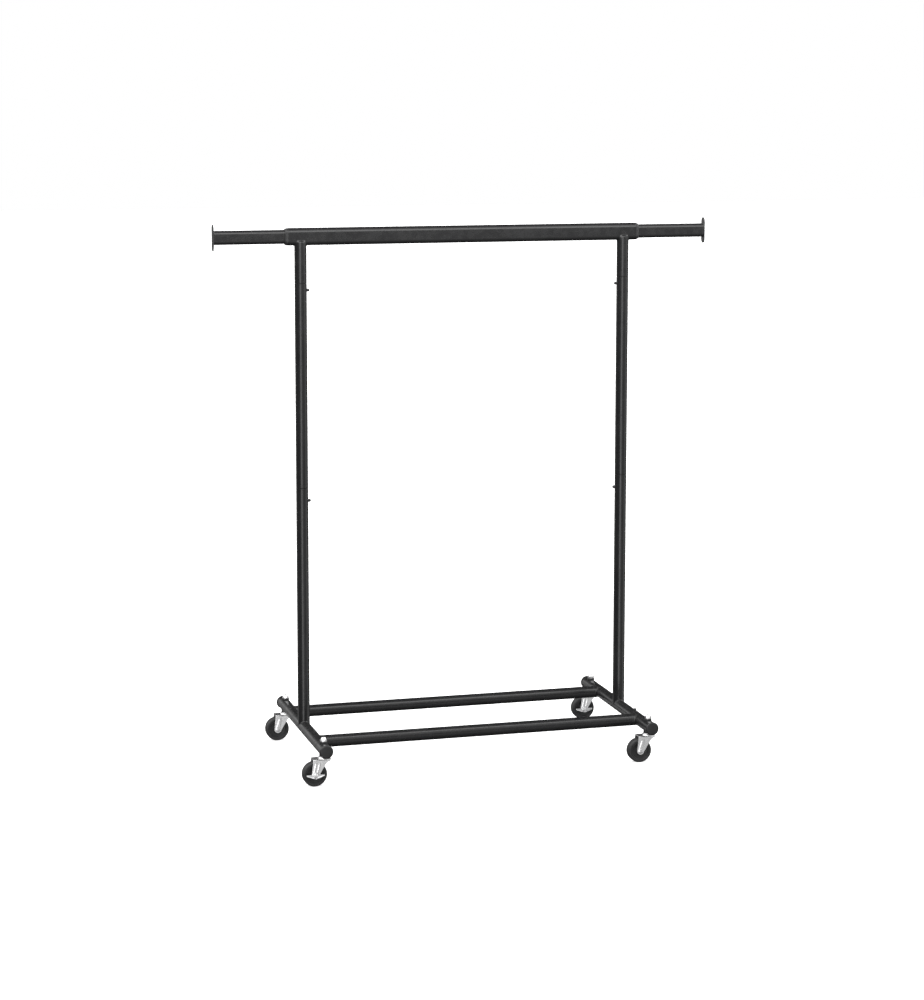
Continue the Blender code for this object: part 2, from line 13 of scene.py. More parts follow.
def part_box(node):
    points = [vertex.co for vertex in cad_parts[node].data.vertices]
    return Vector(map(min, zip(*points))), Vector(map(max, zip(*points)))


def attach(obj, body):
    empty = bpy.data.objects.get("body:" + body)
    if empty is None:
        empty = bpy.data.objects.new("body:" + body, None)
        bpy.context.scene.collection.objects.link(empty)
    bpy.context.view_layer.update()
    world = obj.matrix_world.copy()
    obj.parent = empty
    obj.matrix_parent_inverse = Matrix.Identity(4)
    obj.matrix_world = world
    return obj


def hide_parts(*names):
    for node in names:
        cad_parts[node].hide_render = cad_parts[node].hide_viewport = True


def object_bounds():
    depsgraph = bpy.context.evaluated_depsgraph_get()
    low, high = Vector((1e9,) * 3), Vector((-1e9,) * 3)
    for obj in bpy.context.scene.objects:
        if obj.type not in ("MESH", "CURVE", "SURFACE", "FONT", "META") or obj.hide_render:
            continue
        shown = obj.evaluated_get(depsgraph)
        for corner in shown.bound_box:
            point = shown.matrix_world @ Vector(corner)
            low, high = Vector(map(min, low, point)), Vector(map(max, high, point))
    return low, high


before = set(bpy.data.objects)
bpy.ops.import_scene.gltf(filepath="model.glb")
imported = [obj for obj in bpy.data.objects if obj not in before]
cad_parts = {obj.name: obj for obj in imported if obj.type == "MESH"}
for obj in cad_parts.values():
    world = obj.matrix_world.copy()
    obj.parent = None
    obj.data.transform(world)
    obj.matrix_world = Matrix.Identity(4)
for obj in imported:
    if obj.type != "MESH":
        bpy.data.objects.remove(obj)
CAD_LOW, CAD_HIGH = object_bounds()

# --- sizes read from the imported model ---
SIDES = {"left": -1, "right": 1}
CORNERS = {
    "front_left": (-1, -1),
    "front_right": (1, -1),
    "rear_left": (-1, 1),
    "rear_right": (1, 1),
}
BRAKED = ("front_left", "rear_right")


def middle(node):
    low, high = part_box(node)
    return (low + high) / 2


def span(node):
    low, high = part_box(node)
    return high - low


GAP = 0.0003  # between nodes that touch
TUBE_R = span("side_rail_right").x / 2
TUBE_WALL = 0.0015
BORE_R = TUBE_R - TUBE_WALL
SWAGE_R = BORE_R - GAP
SWAGE_BORE_R = SWAGE_R - TUBE_WALL
SADDLE_R = TUBE_R + GAP  # of a surface that lies against a tube

UPRIGHT_X = middle("side_rail_right").x
SIDE_Z = middle("side_rail_right").z
FRONT_JOINT_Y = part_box("side_rail_right")[0].y
REAR_JOINT_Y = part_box("side_rail_right")[1].y
SIDE_END_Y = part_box("corner_tube_rear_right")[1].y
SIDE_SWAGE = REAR_JOINT_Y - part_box("corner_tube_rear_right")[0].y

RAIL_Z = middle("hanging_rail").z
RAIL_HALF = span("hanging_rail").x / 2
RAIL_W = span("hanging_rail").y
RAIL_H = span("hanging_rail").z
RAIL_WALL = 0.0012
ROD_H, ROD_W, ROD_WALL = 0.040, 0.020, 0.0012
ROD_FLARE = 0.030  # length of the flared inner end, with its cone
ROD_CONE = 0.003

UPRIGHT_SWAGE = 0.060
UPPER_JOINT_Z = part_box("rail_stub_right")[0].z + UPRIGHT_SWAGE
LOWER_JOINT_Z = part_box("upright_middle_right")[0].z + UPRIGHT_SWAGE

STEM_Y = middle("caster_stem_rear_right").y
STEM_R = 0.005
WHEEL_R = span("caster_wheel_rear_right").z / 2
WHEEL_HALF_T = 0.013
TRAIL = UPRIGHT_X - middle("caster_wheel_rear_right").x
HEAD_RISE = 0.0035  # of the swivel head over the fork's top plate
FORK_TOP_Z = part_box("caster_fork_rear_right")[1].z - HEAD_RISE
STEM_TO_RACE = 0.0107  # from under the kingpin's head to the top of its fixed race
RACE_LIFT = 0.0038  # of that race over the fork's top plate
FORK_HALF_Y = 0.017
FORK_T = 0.002
FORK_FOOT_R = WHEEL_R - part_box("caster_fork_rear_right")[0].z
AXLE_R = 0.004
BRAKE_T = 0.0015
BRAKE_HALF_X = span("brake_rocker_front_left").x / 2

FINE_STEPS = 96
TUBE_STEPS = 72
SMALL_STEPS = 40
ARC_STEPS = 20
CORNER_STEPS = 4
FLAT_MARGIN = 0.0006  # from an arc to the point that keeps an oval's side flat
TO_X = Matrix.Rotation(math.pi / 2, 4, "Y")
TO_Y = Matrix.Rotation(-math.pi / 2, 4, "X")
UPSIDE_DOWN = Matrix.Rotation(math.pi, 4, "X")


# --- ways of making a mesh ---
def at(x=0.0, y=0.0, z=0.0):
    return Matrix.Translation((x, y, z))


def loft(rings, closed=False):
    """Quads between rings of equally many points. The end rings are capped, or joined up."""
    work = bmesh.new()
    rows = [[work.verts.new(point) for point in ring] for ring in rings]
    pairs = list(zip(rows, rows[1:]))
    if closed:
        pairs.append((rows[-1], rows[0]))
    else:
        work.faces.new(rows[0])
        work.faces.new(rows[-1])
    for first, second in pairs:
        for i in range(len(first)):
            j = (i + 1) % len(first)
            work.faces.new((first[i], first[j], second[j], second[i]))
    return tidied(work)


def tidied(work):
    """The mesh of a bmesh, with its doubled points merged and its faces pointing out."""
    bmesh.ops.remove_doubles(work, verts=work.verts, dist=1e-7)
    bmesh.ops.recalc_face_normals(work, faces=work.faces)
    mesh = bpy.data.meshes.new("shape")
    work.to_mesh(mesh)
    work.free()
    return mesh


def around(steps):
    return [2 * math.pi * i / steps for i in range(steps)]


def quarter_turn(steps):
    """Angles in equal steps up to a right angle, without the 0."""
    return [math.radians(90 * i / steps) for i in range(1, steps + 1)]


def turned(stations, steps=TUBE_STEPS, closed=True):
    """A profile turned about Z. A station is (radius, height), and either can be a function:
    the radius of the angle, and the height of the radius and the angle."""
    rings = []
    for radius, height in stations:
        ring = []
        for angle in around(steps):
            r = radius(angle) if callable(radius) else radius
            z = height(r, angle) if callable(height) else height
            ring.append((r * math.cos(angle), r * math.sin(angle), z))
        rings.append(ring)
    return loft(rings, closed)


def rounded(corner, start, end, radius):
    """Points of an arc of that radius in the corner between the directions to start and end."""
    corner, start, end = (Vector((*point, 0)) for point in (corner, start, end))
    first = corner + (start - corner).normalized() * radius
    last = corner + (end - corner).normalized() * radius
    points = []
    for i in range(CORNER_STEPS + 1):
        t = i / CORNER_STEPS
        points.append(first.lerp(corner, t).lerp(corner.lerp(last, t), t))
    return [(point.x, point.y) for point in points]


def oval(height, width):
    """A flat-sided oval as (y, z) points, with a point close to each end of a flat."""
    radius = width / 2
    rise = height / 2 - radius
    near = min(FLAT_MARGIN, rise / 4)
    points = []
    for turn, centre in ((0, rise), (math.pi, -rise)):
        sign = 1 if turn == 0 else -1
        points.append((sign * radius, centre - sign * near))
        for i in range(ARC_STEPS + 1):
            angle = turn + math.pi * i / ARC_STEPS
            points.append((radius * math.cos(angle), centre + radius * math.sin(angle)))
        points.append((-sign * radius, centre - sign * near))
    return points


def oval_loft(sections, closed=True):
    """Ovals (x, height, width) lofted along X."""
    rings = [[(x, y, z) for y, z in oval(height, width)] for x, height, width in sections]
    return loft(rings, closed)


def object_of(data, name="shape"):
    obj = bpy.data.objects.new(name, data)
    bpy.context.scene.collection.objects.link(obj)
    return obj


def applied(obj):
    """The mesh as the object's modifiers leave it, with the object itself removed."""
    bpy.context.view_layer.update()
    evaluated = obj.evaluated_get(bpy.context.evaluated_depsgraph_get())
    mesh = bpy.data.meshes.new_from_object(evaluated)
    bpy.data.objects.remove(obj, do_unlink=True)
    return mesh


def drilled(mesh, *cutters):
    """The mesh with the cutters' shapes taken out of it."""
    obj = object_of(mesh)
    helpers = [object_of(cutter) for cutter in cutters]
    for helper in helpers:
        modifier = obj.modifiers.new("hole", "BOOLEAN")
        modifier.operation = "DIFFERENCE"
        modifier.solver = "EXACT"
        modifier.object = helper
    result = applied(obj)
    for helper in helpers:
        bpy.data.objects.remove(helper, do_unlink=True)
    return result


def placed(mesh, matrix):
    copy = mesh.copy()
    copy.transform(matrix)
    return copy


def pin(radius, low, high):
    return turned([(radius, low), (radius, high)], SMALL_STEPS, closed=False)


def shade(mesh, angle):
    mesh.shade_smooth()
    mesh.set_sharp_from_angle(angle=math.radians(angle))


ALONG_LIMIT = 0.05  # the lean of a face's normal up to which it lies along the tube
ROUND_LIMIT = 0.95  # how squarely it has to face away from or to the tube's axis


def true_round(mesh, point, direction):
    """Gives the faces that lie along a round tube the exact normals of its cylinder."""
    shade(mesh, 35)
    point, direction = Vector(point), Vector(direction).normalized()
    normals = [Vector((0, 0, 0))] * len(mesh.loops)
    for face in mesh.polygons:
        if abs(face.normal.dot(direction)) > ALONG_LIMIT:
            continue
        for index in face.loop_indices:
            offset = mesh.vertices[mesh.loops[index].vertex_index].co - point
            radial = (offset - direction * offset.dot(direction)).normalized()
            facing = face.normal.dot(radial)
            if abs(facing) > ROUND_LIMIT:
                normals[index] = radial * math.copysign(1, facing)
    mesh.normals_split_custom_set(normals)


def pressed(rows, thickness, offset, edge):
    """Sheet metal over rows of points, with its cut edges softened."""
    work = bmesh.new()
    rows = [[work.verts.new(point) for point in row] for row in rows]
    for first, second in zip(rows, rows[1:]):
        for i in range(len(first) - 1):
            work.faces.new((first[i], first[i + 1], second[i + 1], second[i]))
    obj = object_of(tidied(work))
    solidify = obj.modifiers.new("sheet", "SOLIDIFY")
    solidify.thickness = thickness
    solidify.offset = offset
    bevel = obj.modifiers.new("edge", "BEVEL")
    bevel.width = edge
    bevel.segments = 2
    bevel.limit_method = "ANGLE"
    bevel.angle_limit = math.radians(50)
    return applied(obj)


def add(name, mesh, material, body, replaces=(), sharp=35):
    """A visual piece that rides on a body and stands for the nodes that it replaces. Edges
    over the sharp angle stay hard, and normals that are already exact stay as they are."""
    if not mesh.has_custom_normals:
        shade(mesh, sharp)
    obj = object_of(mesh, name)
    mesh.name = name
    mesh.materials.clear()
    mesh.materials.append(material)
    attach(obj, body)
    if replaces:
        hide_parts(*replaces)


def detail(node, mesh, material, body, sharp=35):
    """The piece that stands for one node, under the node's own name."""
    add(f"{node}_detailed", mesh, material, body, (node,), sharp)


# --- materials ---
class Nodes:
    """A short way of wiring up a node tree."""

    def __init__(self, tree):
        self.tree = tree

    def new(self, kind, inputs=None, **settings):
        node = self.tree.nodes.new(kind)
        for key, value in settings.items():
            setattr(node, key, value)
        for key, value in (inputs or {}).items():
            self.set(node.inputs[key], value)
        return node

    def set(self, socket, value):
        if isinstance(value, bpy.types.NodeSocket):
            self.tree.links.new(value, socket)
        else:
            socket.default_value = value

    def math(self, operation, a, b=0.0):
        return self.new("ShaderNodeMath", {0: a, 1: b}, operation=operation).outputs[0]

    def times(self, a, b):
        return self.math("MULTIPLY", a, b)

    def mapped(self, value, low, high, to_low=0.0, to_high=1.0, smooth=True):
        kind = "SMOOTHSTEP" if smooth else "LINEAR"
        inputs = {"Value": value, "From Min": low, "From Max": high}
        inputs |= {"To Min": to_low, "To Max": to_high}
        return self.new("ShaderNodeMapRange", inputs, interpolation_type=kind).outputs["Result"]

    def noise(self, vector, scale, detail=2.0, roughness=0.5):
        inputs = {"Vector": vector, "Scale": scale, "Detail": detail, "Roughness": roughness}
        return self.new("ShaderNodeTexNoise", inputs).outputs["Fac"]

    def ramp(self, value, stops):
        """A colour ramp. A stop is a place with a colour, or with one number for a grey."""
        node = self.new("ShaderNodeValToRGB", {"Fac": value})
        ends = node.color_ramp.elements
        while len(ends) < len(stops):
            ends.new(0.5)
        for end, (position, color) in zip(ends, stops):
            end.position = position
            channels = color if isinstance(color, tuple) else (color, color, color)
            end.color = (*channels, 1)
        return node.outputs["Color"]

    def bump(self, height, strength, distance, normal=None):
        inputs = {"Height": height, "Strength": strength, "Distance": distance}
        if normal is not None:
            inputs["Normal"] = normal
        return self.new("ShaderNodeBump", inputs).outputs["Normal"]

    def stretched(self, vector, scale):
        return self.new("ShaderNodeMapping", {"Vector": vector, "Scale": scale}).outputs["Vector"]


def new_material(name, metallic=0.0, ior=1.5):
    """A material, its nodes, its shader, and the place on the object in metres."""
    material = bpy.data.materials.new(name)
    material.use_nodes = True
    nodes = Nodes(material.node_tree)
    shader = material.node_tree.nodes["Principled BSDF"]
    shader.inputs["Metallic"].default_value = metallic
    shader.inputs["IOR"].default_value = ior
    place = nodes.new("ShaderNodeTexCoord").outputs["Object"]
    return material, nodes, shader, place


def finished(material, nodes, shader, color, rough, normal):
    nodes.set(shader.inputs["Base Color"], color)
    nodes.set(shader.inputs["Roughness"], rough)
    nodes.set(shader.inputs["Normal"], normal)
    return material


def make_powder_coat():
    """Black powder coat: satin, with a fine orange peel over a slower waviness."""
    material, nodes, shader, place = new_material("black_powder_coat")
    tone = nodes.noise(place, scale=14.0, detail=3.0)
    color = nodes.ramp(tone, [(0.3, (0.0075, 0.0075, 0.0080)), (0.7, (0.0110, 0.0110, 0.0115))])
    peel = nodes.noise(place, scale=900.0, detail=2.0)
    wave = nodes.noise(place, scale=160.0, detail=1.0)
    wear = nodes.noise(place, scale=55.0, detail=4.0)
    rough = nodes.mapped(wear, 0.3, 0.7, to_low=0.22, to_high=0.30)
    normal = nodes.bump(wave, strength=0.10, distance=0.0004)
    normal = nodes.bump(peel, strength=0.12, distance=0.0001, normal=normal)
    return finished(material, nodes, shader, color, rough, normal)


def make_plastic():
    """Moulded black plastic with a fine spark-eroded grain."""
    material, nodes, shader, place = new_material("black_moulded_plastic", ior=1.48)
    tone = nodes.noise(place, scale=40.0, detail=3.0)
    color = nodes.ramp(tone, [(0.3, (0.010, 0.010, 0.0105)), (0.7, (0.015, 0.015, 0.0155))])
    grain = nodes.noise(place, scale=1500.0, detail=3.0, roughness=0.6)
    rough = nodes.mapped(grain, 0.3, 0.7, to_low=0.36, to_high=0.50)
    normal = nodes.bump(grain, strength=0.25, distance=0.00012)
    return finished(material, nodes, shader, color, rough, normal)


def make_zinc():
    """Bright zinc plate on pressed steel: faint crystals, drawing marks and handling haze."""
    material, nodes, shader, place = new_material("bright_zinc_plate", metallic=1.0)
    cells = {"Vector": place, "Scale": 420.0, "Randomness": 1.0}
    crystals = nodes.new("ShaderNodeTexVoronoi", cells).outputs["Color"]
    shine = nodes.new("ShaderNodeSeparateColor", {"Color": crystals}).outputs[0]
    drawn = nodes.stretched(place, (900.0, 900.0, 60.0))
    marks = nodes.noise(drawn, scale=1.0, detail=3.0)
    haze = nodes.noise(place, scale=90.0, detail=4.0)
    shine = nodes.times(shine, 0.35)
    mixed = nodes.math("ADD", shine, nodes.times(haze, 0.65))
    color = nodes.ramp(mixed, [(0.25, (0.78, 0.78, 0.785)), (0.75, (0.90, 0.90, 0.905))])
    rough = nodes.mapped(mixed, 0.25, 0.75, to_low=0.36, to_high=0.22)
    normal = nodes.bump(marks, strength=0.10, distance=0.00008)
    return finished(material, nodes, shader, color, rough, normal)


def make_rubber():
    """The wheel's soft tread: matt, with a dusty bloom in its grain."""
    material, nodes, shader, place = new_material("black_tread_rubber", ior=1.52)
    bloom = nodes.noise(place, scale=130.0, detail=5.0, roughness=0.6)
    color = nodes.ramp(bloom, [(0.35, (0.009, 0.009, 0.0095)), (0.75, (0.020, 0.020, 0.0205))])
    grain = nodes.noise(place, scale=1100.0, detail=3.0)
    rough = nodes.mapped(bloom, 0.3, 0.7, to_low=0.48, to_high=0.62)
    normal = nodes.bump(grain, strength=0.30, distance=0.00015)
    return finished(material, nodes, shader, color, rough, normal)


COAT = make_powder_coat()
PLASTIC = make_plastic()
ZINC = make_zinc()
RUBBER = make_rubber()


# --- tubes and welds ---
EDGE = 0.0005  # rounding of a cut tube end
SHOULDER = 0.0024  # rounding where a tube is drawn down to plug into the next
DRAWN_BORE = (0.006, 0.001)  # where the bore starts and ends narrowing, above the shoulder
WELD_LEG = 0.0032
WELD_SKIN = 0.0002  # how far a bead's visible side stands off the metal
WELD_STEPS = 144
RIPPLES = 26
BUTTON_R = 0.0043
BUTTON_HOLE_R = 0.0046
BUTTON_FLANGE = 0.0016
BUTTON_DOME = 0.0028


def open_end(z, sign):
    """Stations of a plain tube end at z, from outside to inside. Its open side has that sign."""
    back = z - sign * EDGE
    outer = rounded((TUBE_R, z), (TUBE_R, back), (BORE_R, z), EDGE)
    inner = rounded((BORE_R, z), (TUBE_R, z), (BORE_R, back), EDGE)
    return [*outer, *inner]


def swaged_end(z, swage):
    """Stations of a drawn-down lower end whose shoulder is at z, from inside to outside."""
    tip = z - swage
    shoulder = rounded((TUBE_R, z), (SWAGE_R, z), (TUBE_R, z + SHOULDER), SHOULDER - GAP)
    return [
        (BORE_R, z + DRAWN_BORE[0]),
        (SWAGE_BORE_R, z + DRAWN_BORE[1]),
        (SWAGE_BORE_R, tip),
        *rounded((SWAGE_R, tip), (SWAGE_BORE_R, tip), (SWAGE_R, z), EDGE),
        (SWAGE_R, z - 0.0002),
        *shoulder,
    ]


def saddle_height(radius, angle):
    """How far from the axis of a crossing tube a fish-mouthed end lies, at that angle."""
    return math.sqrt(max(0.0, SADDLE_R**2 - (radius * math.cos(angle)) ** 2))


def button_drill(matrix):
    """The cutter of a button's hole, from inside the tube to clear of its skin."""
    return placed(pin(BUTTON_HOLE_R, BORE_R / 2, TUBE_R + 0.002), matrix)


def toward(sign):
    """Turns +Z to the side that the sign gives along X."""
    return Matrix.Rotation(sign * math.pi / 2, 4, "Y")


def bezier(points, steps):
    """Points of the Bezier curve with those control points."""
    curve = []
    for i in range(steps + 1):
        row, t = list(points), i / steps
        while len(row) > 1:
            row = [a.lerp(b, t) for a, b in zip(row, row[1:])]
        curve.append(row[0])
    return curve


def weld_ring(sections):
    """A closed bead: each section is four control points and one point hidden inside."""
    return loft([[*bezier(section[:4], 7), section[4]] for section in sections], closed=True)


def saddle_weld(matrix):
    """The bead where a tube stands on another of its size: branch on Z, run on Y."""
    sections = []
    for angle in around(WELD_STEPS):
        c, s = math.cos(angle), math.sin(angle)
        ripple = 1 + 0.10 * math.cos(RIPPLES * angle) * abs(s)
        leg = WELD_LEG * ripple
        root = Vector((TUBE_R * c, TUBE_R * s, TUBE_R * abs(s)))
        skin = Vector((c, s, 0)) * 0.00015 + Vector((c, 0, abs(s))) * 0.00015
        up = root + skin + Vector((0, 0, leg * (0.25 + 0.75 * abs(s))))
        along = root + skin + Vector((0, math.copysign(leg, s) * abs(s) ** 0.7, 0))
        deep = root - Vector((c, s, abs(s))) * 0.0006
        bend = root + skin * 2
        sections.append((up, up.lerp(bend, 0.8), along.lerp(bend, 0.8), along, deep))
    return placed(weld_ring(sections), matrix)


def make_bar(name):
    """A bar between the side rails, fish-mouthed and welded onto them."""
    y = middle(name).y

    def low_end(radius, angle):
        return -UPRIGHT_X + saddle_height(radius, angle)

    def high_end(radius, angle):
        return UPRIGHT_X - saddle_height(radius, angle)

    stations = [(TUBE_R, low_end), (TUBE_R, high_end), (BORE_R, high_end), (BORE_R, low_end)]
    mesh = placed(turned(stations), at(0, y, SIDE_Z) @ TO_X)
    true_round(mesh, (0, y, SIDE_Z), (1, 0, 0))
    detail(name, mesh, COAT, "frame")
    for side, sign in SIDES.items():
        bead = saddle_weld(at(sign * UPRIGHT_X, y, SIDE_Z) @ toward(-sign))
        add(f"{name}_weld_{side}", bead, COAT, "frame", sharp=60)


def make_side_rail(side, sign):
    """The middle tube of a side of the base, with its two buttons and the upright's weld."""
    name, x = f"side_rail_{side}", sign * UPRIGHT_X
    stations = [*open_end(REAR_JOINT_Y, 1), *reversed(open_end(FRONT_JOINT_Y, -1))]
    mesh = placed(turned(stations), at(x, 0, SIDE_Z) @ TO_Y)
    drills = []
    for end in ("front", "rear"):
        button = f"snap_button_{end}_{side}"
        drills.append(button_drill(at(x, middle(button).y, SIDE_Z)))
        make_button(button, f"button_{end}_{side}", Matrix.Identity(4))
    mesh = drilled(mesh, *drills)
    true_round(mesh, (x, 0, SIDE_Z), (0, 1, 0))
    detail(name, mesh, COAT, "frame")
    bead = saddle_weld(at(x, 0, SIDE_Z))
    add(f"upright_weld_{side}", bead, COAT, "frame", sharp=60)


def make_corner_tube(corner, x_sign, y_sign):
    """The end of a side of the base. It plugs into the side rail, and holds a caster's stem."""
    name, x = f"corner_tube_{corner}", x_sign * UPRIGHT_X
    joint = REAR_JOINT_Y + GAP if y_sign > 0 else GAP - FRONT_JOINT_Y
    stations = [*swaged_end(joint, SIDE_SWAGE), *open_end(SIDE_END_Y, 1)]
    turn = TO_Y if y_sign > 0 else TO_Y @ UPSIDE_DOWN
    mesh = placed(turned(stations), at(x, 0, SIDE_Z) @ turn)
    stem = placed(pin(STEM_R + GAP, -0.03, 0.03), at(x, y_sign * STEM_Y, SIDE_Z))
    end, side = corner.split("_")
    button_y = middle(f"snap_button_{end}_{side}").y
    mesh = drilled(mesh, stem, button_drill(at(x, button_y, SIDE_Z)))
    true_round(mesh, (x, 0, SIDE_Z), (0, 1, 0))
    detail(name, mesh, COAT, "frame")


def make_button(node, body, turn):
    """A snap button: a domed plastic pin with a flange inside the tube."""
    low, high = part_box(node)
    size = high - low
    length = max(size)
    flange_r = min(size) / 2
    profile = [
        (0, 0),
        (flange_r, 0),
        (flange_r, BUTTON_FLANGE),
        (BUTTON_R, BUTTON_FLANGE),
        (BUTTON_R, length - BUTTON_DOME),
    ]
    for angle in quarter_turn(8):
        height = length - BUTTON_DOME * (1 - math.sin(angle))
        profile.append((BUTTON_R * math.cos(angle), height))
    mesh = turned(profile, SMALL_STEPS, closed=False)
    centre = (low + high) / 2
    foot = centre - turn.to_3x3() @ Vector((0, 0, length / 2))
    mesh.transform(at(*foot) @ turn)
    detail(node, mesh, PLASTIC, body)


def make_upright(side, sign):
    """The three plugged tubes from the side rail to the hanging rail, with two buttons."""
    x, inward = sign * UPRIGHT_X, toward(-sign)
    drills = {}
    for level in ("upper", "lower"):
        button = f"snap_button_{level}_{side}"
        make_button(button, f"button_{level}_{side}", inward)
        drills[level] = button_drill(at(x, 0, middle(button).z) @ inward)

    def foot(radius, angle):
        return SIDE_Z + saddle_height(radius, angle)

    lower = [(BORE_R, foot), (TUBE_R, foot), *open_end(LOWER_JOINT_Z - GAP, 1)]
    centre = [*swaged_end(LOWER_JOINT_Z, UPRIGHT_SWAGE), *open_end(UPPER_JOINT_Z - GAP, 1)]
    stub = [*swaged_end(UPPER_JOINT_Z, UPRIGHT_SWAGE), (TUBE_R, stub_height), (BORE_R, stub_height)]
    tubes = {
        f"upright_lower_{side}": (lower, ("lower",)),
        f"upright_middle_{side}": (centre, ("upper", "lower")),
        f"rail_stub_{side}": (stub, ("upper",)),
    }
    for name, (stations, levels) in tubes.items():
        mesh = placed(turned(stations), at(x))
        mesh = drilled(mesh, *[drills[level].copy() for level in levels])
        true_round(mesh, (x, 0, 0), (0, 0, 1))
        detail(name, mesh, COAT, "frame")
    bead = placed(weld_ring(stub_weld_sections()), at(x, 0, RAIL_Z))
    add(f"rail_weld_{side}", bead, COAT, "frame", sharp=60)


# --- hanging rail ---
RAIL_RISE = RAIL_H / 2 - RAIL_W / 2
CRADLE_R = RAIL_W / 2 + GAP
LOBE_DROP = 0.0060  # of the stub's lobes from the middle to their ends
QUARTER = CRADLE_R * math.pi / 2
LIP_SHARE = 0.42  # of the collar's visible length, before its taper starts


def stub_height(radius, angle):
    """The top of the upright's stub: it cradles the rail, with a round lobe on front and back."""
    x, y = radius * math.cos(angle), abs(radius * math.sin(angle))
    under = -RAIL_RISE - math.sqrt(max(0.0, CRADLE_R**2 - y**2))
    lobe = -RAIL_RISE - LOBE_DROP * x**2 / (TUBE_R**2 - CRADLE_R**2)
    return RAIL_Z + min(under, lobe)


def rail_skin(distance, sign):
    """(y, z) on the rail's surface, that far up from its lowest line, about the rail's axis."""
    if distance < QUARTER:
        angle = distance / CRADLE_R
        return sign * CRADLE_R * math.sin(angle), -RAIL_RISE - CRADLE_R * math.cos(angle)
    return sign * CRADLE_R, -RAIL_RISE + distance - QUARTER


def stub_weld_sections():
    """The bead between the stub and the rail, which rounds the lobes over onto the rail's face."""
    sections = []
    for angle in around(WELD_STEPS):
        c, s = math.cos(angle), math.sin(angle)
        sign = math.copysign(1, s)
        leg = WELD_LEG * (1 + 0.08 * math.cos(RIPPLES * angle))
        x, y = TUBE_R * c, TUBE_R * s
        edge = Vector((x, y, stub_height(TUBE_R, angle) - RAIL_Z))
        met = CRADLE_R * math.asin(min(1.0, abs(y) / CRADLE_R))
        skin = Vector((c, s, 0)) * WELD_SKIN
        below = edge + skin - Vector((0, 0, leg * 0.9))
        over = Vector((x + leg * c, *rail_skin(met + leg * abs(s), sign)))
        over.y += sign * 0.0001
        root = Vector((x, *rail_skin(met, sign)))
        deep = edge.lerp(root, 0.6) - Vector((c, s, 0)) * 0.0012 - Vector((0, 0, 0.001))
        crest = edge + skin + Vector((0, 0, 0.0012))
        sections.append((below, crest, root.lerp(over, 0.2), over, deep))
    return sections


def make_hanging_rail():
    """The long oval tube. The section a little inside each end keeps its sides' shading even."""
    half, inner = RAIL_HALF, 2 * RAIL_WALL
    right = [
        (half - 4 * EDGE, RAIL_H, RAIL_W),
        (half - EDGE, RAIL_H, RAIL_W),
        (half - EDGE * 0.3, RAIL_H - EDGE * 0.6, RAIL_W - EDGE * 0.6),
        (half, RAIL_H - 2 * EDGE, RAIL_W - 2 * EDGE),
        (half, RAIL_H - inner, RAIL_W - inner),
    ]
    left = [(-x, height, width) for x, height, width in right]
    sections = [left[1], left[0], *right, *reversed(left[2:])]
    mesh = placed(oval_loft(sections), at(0, 0, RAIL_Z))
    detail("hanging_rail", mesh, COAT, "frame")


def rail_end(sign):
    """Takes a shape made about the rail's axis, for its right end, to the end of that sign."""
    return at(0, 0, RAIL_Z) @ Matrix.Rotation(0 if sign > 0 else math.pi, 4, "Z")


def make_rail_collar(side, sign):
    """A moulded collar: a sleeve inside the rail, and a tapered lip that guides the rod."""
    low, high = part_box(f"rail_collar_{side}")
    inner_x, outer_x = (abs(low.x), abs(high.x)) if sign > 0 else (abs(high.x), abs(low.x))
    bore = (ROD_H + 2 * GAP, ROD_W + 2 * GAP)
    sleeve = (RAIL_H - 2 * (RAIL_WALL + GAP), RAIL_W - 2 * (RAIL_WALL + GAP))
    lip = (RAIL_H - 0.0006, RAIL_W - 0.0004)
    nose = (ROD_H + 0.0042, ROD_W + 0.0038)
    lip_x = RAIL_HALF + GAP
    taper_x = lip_x + (outer_x - lip_x) * LIP_SHARE
    sections = [
        (inner_x, *bore),
        (inner_x, *sleeve),
        (lip_x, *sleeve),
        (lip_x, lip[0] - EDGE, lip[1] - EDGE),
        (lip_x + EDGE / 2, *lip),
        (taper_x - 0.0008, *lip),
        (taper_x, lip[0] - 0.0004, lip[1] - 0.0004),
        (taper_x + 0.0008, lip[0] - 0.0016, lip[1] - 0.0012),
        (outer_x - 0.0012, nose[0] + 0.0012, nose[1] + 0.0008),
        (outer_x - 0.0005, nose[0], nose[1]),
        (outer_x, nose[0] - 0.0016, nose[1] - 0.0014),
        (outer_x, bore[0] + 0.0004, bore[1] + 0.0004),
        (outer_x - 0.0004, *bore),
    ]
    mesh = placed(oval_loft(sections), rail_end(sign))
    detail(f"rail_collar_{side}", mesh, PLASTIC, "frame", sharp=28)


